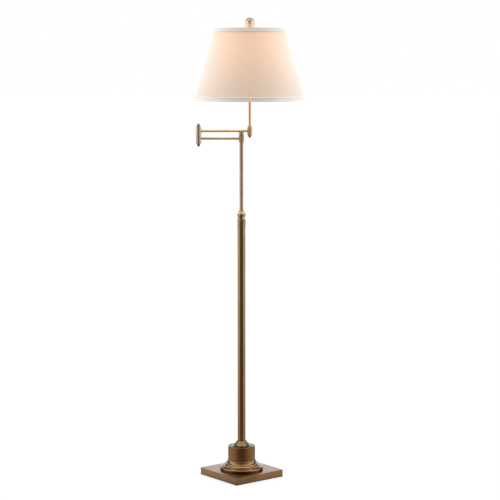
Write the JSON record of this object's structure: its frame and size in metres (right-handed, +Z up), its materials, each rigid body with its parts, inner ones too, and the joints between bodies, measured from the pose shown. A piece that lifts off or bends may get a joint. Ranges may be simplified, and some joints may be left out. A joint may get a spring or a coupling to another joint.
{
  "type": "floor lamp",
  "caption": "Swing-arm floor lamp: square weighted base, telescopic pole with clamp screw, folding two-part arm and a tapered fabric shade on a harp.",
  "frame": {"origin": "on the pole axis at the level of the floor, at the centre of the square base", "axes": "+Z up along the pole; X and Y along the sides of the base; the cord inlet is in the +Y side"},
  "size_m": [0.4063, 0.4064, 1.7],
  "materials": {
    "pole_brass": "aged antique brass, satin with soft reflections",
    "arm_brass": "aged brass, lightly polished",
    "cap_brass": "darkened brass, satin",
    "polished_brass": "polished brass",
    "inner_brass": "bare turned brass",
    "plated_steel": "zinc plated",
    "shade_wire": "cream enamelled wire",
    "cast_weight": "rough cast, painted",
    "pad": "soft foam rubber sheet",
    "black_plastic": "moulded, matte",
    "liner": "pressed insulating fibre",
    "lead_sheath": "translucent gold flexible sheath",
    "shade_fabric": "fine off-white linen weave on a stiff backing",
    "trim_fabric": "folded band of the same linen",
    "bulb_glass": "frosted white, lit"
  },
  "bodies": {
    "pole_and_base": {"base_pad": "pad", "base_shell": "pole_brass", "base_weight": "cast_weight", "cord_inlet_bushing": "black_plastic", "tie_rod": "plated_steel", "tie_rod_washer": "plated_steel", "tie_rod_nut": "plated_steel", "base_flange": "pole_brass", "base_drum": "pole_brass", "pole_neck": "pole_brass", "main_pole": "pole_brass", "pole_plug": "inner_brass", "pole_ferrule": "pole_brass", "lock_collar": "pole_brass", "guide_bush": "black_plastic", "collar_dome": "pole_brass", "supply_lead": "lead_sheath"},
    "lock_screw": {"lock_thumbscrew": "arm_brass"},
    "height_stem": {"stem": "pole_brass", "stem_foot_bush": "black_plastic", "swivel_cup": "arm_brass", "swivel_spindle": "inner_brass", "swivel_ring": "arm_brass", "swivel_cap": "cap_brass", "stem_lead": "lead_sheath"},
    "lower_arm": {"pole_knuckle": "arm_brass", "lower_arm_tube": "arm_brass", "lower_elbow_knuckle": "arm_brass", "elbow_washer": "plated_steel", "elbow_spindle": "inner_brass", "elbow_bottom_cap": "cap_brass", "elbow_top_cap": "cap_brass", "lower_arm_lead": "lead_sheath"},
    "upper_arm": {"upper_elbow_knuckle": "arm_brass", "upper_arm_tube": "arm_brass", "lamp_knuckle": "arm_brass", "upper_arm_lead": "lead_sheath"},
    "lamp_head": {"lamp_rod": "arm_brass", "rod_collar": "arm_brass", "rod_end_cap": "cap_brass", "saddle_nut": "polished_brass", "harp_saddle": "polished_brass", "harp_sleeves": "polished_brass", "harp": "polished_brass", "socket_cap": "polished_brass", "socket_shell": "polished_brass", "socket_liner": "liner", "socket_body": "black_plastic", "socket_screw_shell": "inner_brass", "bulb_base": "plated_steel", "bulb_glass": "bulb_glass", "shade_cover": "shade_fabric", "shade_top_trim": "trim_fabric", "shade_bottom_trim": "trim_fabric", "shade_spider": "shade_wire", "shade_bottom_ring": "shade_wire", "finial_neck": "polished_brass", "finial": "polished_brass", "rod_lead": "lead_sheath"},
    "switch": {"switch_key": "polished_brass"}
  },
  "joints": [
    {"name": "height_slide", "type": "slide", "parent": "pole_and_base", "child": "height_stem", "axis": [0, 0, 1], "range_m": [-0.235, 0.06]},
    {"name": "lock_screw_turn", "type": "hinge", "parent": "pole_and_base", "child": "lock_screw", "pos_m": [0, 0, 0.97], "axis": [-0.3173, -0.9483, 0], "range_deg": [0, 540]},
    {"name": "lower_arm_swing", "type": "hinge", "parent": "height_stem", "child": "lower_arm", "pos_m": [0, 0, 1.261], "axis": [0, 0, 1], "range_deg": [-170, 170]},
    {"name": "elbow_swing", "type": "hinge", "parent": "lower_arm", "child": "upper_arm", "pos_m": [-0.12282, 0.0978, 1.288], "axis": [0, 0, 1], "range_deg": [0, 350]},
    {"name": "lamp_swivel", "type": "hinge", "parent": "upper_arm", "child": "lamp_head", "pos_m": [0.03415, -0.00621, 1.288], "axis": [0, 0, 1], "range_deg": [-170, 170]},
    {"name": "switch_turn", "type": "hinge", "parent": "lamp_head", "child": "switch", "pos_m": [0.03415, -0.03621, 1.46], "axis": [0, -1, 0], "continuous": true}
  ]
}
